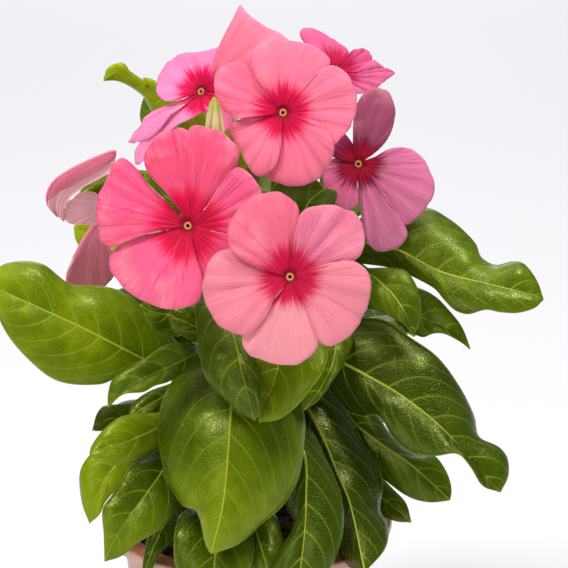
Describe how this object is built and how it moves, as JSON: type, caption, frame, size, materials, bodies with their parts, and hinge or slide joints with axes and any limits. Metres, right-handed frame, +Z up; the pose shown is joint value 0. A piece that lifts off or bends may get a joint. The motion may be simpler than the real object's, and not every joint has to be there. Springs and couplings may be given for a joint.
{
  "type": "potted madagascar periwinkle",
  "caption": "Bushy periwinkle with glossy veined leaves and broad five-petalled pink blooms, in a plain terracotta-coloured pot with a flanged lip.",
  "frame": {"origin": "centre of the pot's flat base, on the surface it stands on", "axes": "+Z up; +Y away from the viewer who sees the blooms' faces; +X to that viewer's right"},
  "size_m": [0.164, 0.1449, 0.2393],
  "materials": {
    "clay": "satin",
    "earth": "matte",
    "stalk": "satin",
    "leaf": "gloss",
    "petal": "matte",
    "bud": "satin"
  },
  "bodies": {
    "root": {"bloom_1": "petal", "bloom_2": "petal", "bloom_3": "petal", "bloom_4": "petal", "bloom_5": "petal", "bloom_6": "petal", "bloom_7": "petal", "bud": "bud", "leaf_01": "leaf", "leaf_02": "leaf", "leaf_03": "leaf", "leaf_04": "leaf", "leaf_05": "leaf", "leaf_06": "leaf", "leaf_07": "leaf", "leaf_08": "leaf", "leaf_09": "leaf", "leaf_10": "leaf", "leaf_11": "leaf", "leaf_12": "leaf", "leaf_13": "leaf", "leaf_14": "leaf", "leaf_15": "leaf", "leaf_16": "leaf", "leaf_17": "leaf", "leaf_18": "leaf", "leaf_19": "leaf", "leaf_20": "leaf", "leaf_21": "leaf", "leaf_22": "leaf", "leaf_23": "leaf", "leaf_24": "leaf", "leaf_25": "leaf", "leaf_26": "leaf", "leaf_27": "leaf", "leaf_28": "leaf", "leaf_29": "leaf", "leaf_30": "leaf", "leaf_31": "leaf", "leaf_32": "leaf", "leaf_33": "leaf", "leaf_34": "leaf", "leaf_35": "leaf", "leaf_36": "leaf", "leaf_37": "leaf", "leaf_38": "leaf", "leaf_39": "leaf", "leaf_40": "leaf", "pot": "clay", "soil": "earth", "stems": "stalk"}
  },
  "joints": []
}
